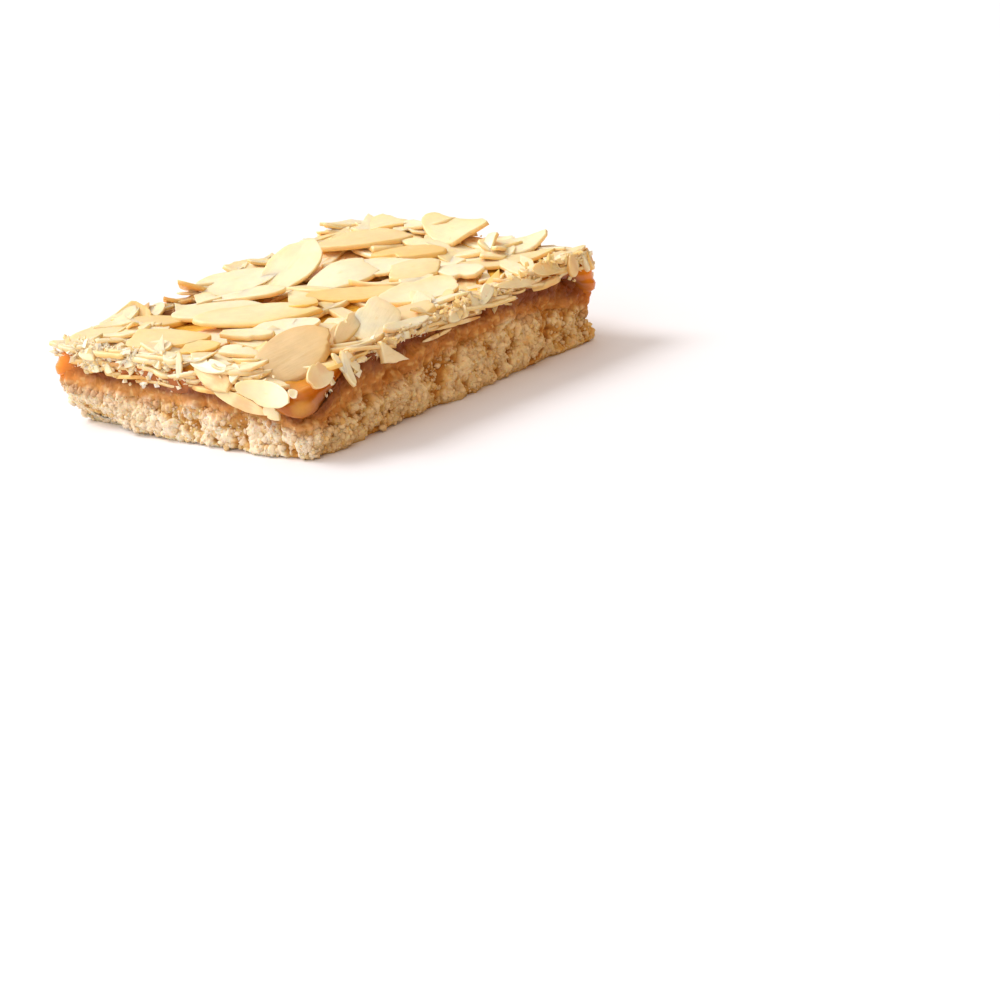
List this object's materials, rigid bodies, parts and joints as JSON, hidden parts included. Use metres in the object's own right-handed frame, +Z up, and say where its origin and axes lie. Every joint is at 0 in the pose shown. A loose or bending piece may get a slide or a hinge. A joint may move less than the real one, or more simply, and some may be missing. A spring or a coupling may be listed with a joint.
{
  "type": "almond caramel shortbread bar",
  "caption": "Oblong cut bar of shortbread under a caramel band and a caramel glaze packed with overlapping almond flakes.",
  "frame": {"origin": "middle of the underside, on the surface the bar lies on", "axes": "+X along the bar's length, +Y across its width, +Z up through the layers"},
  "size_m": [0.0772, 0.0565, 0.0199],
  "materials": {
    "shortbread": "baked shortbread, pale gold, dry and crumbly",
    "caramel": "set caramel paste, fine grained, half matt",
    "almond": "cream almond flakes in clear amber caramel glaze"
  },
  "bodies": {
    "root": {"shortbread_base": "shortbread", "caramel_layer": "caramel", "almond_topping": "almond"}
  },
  "joints": []
}
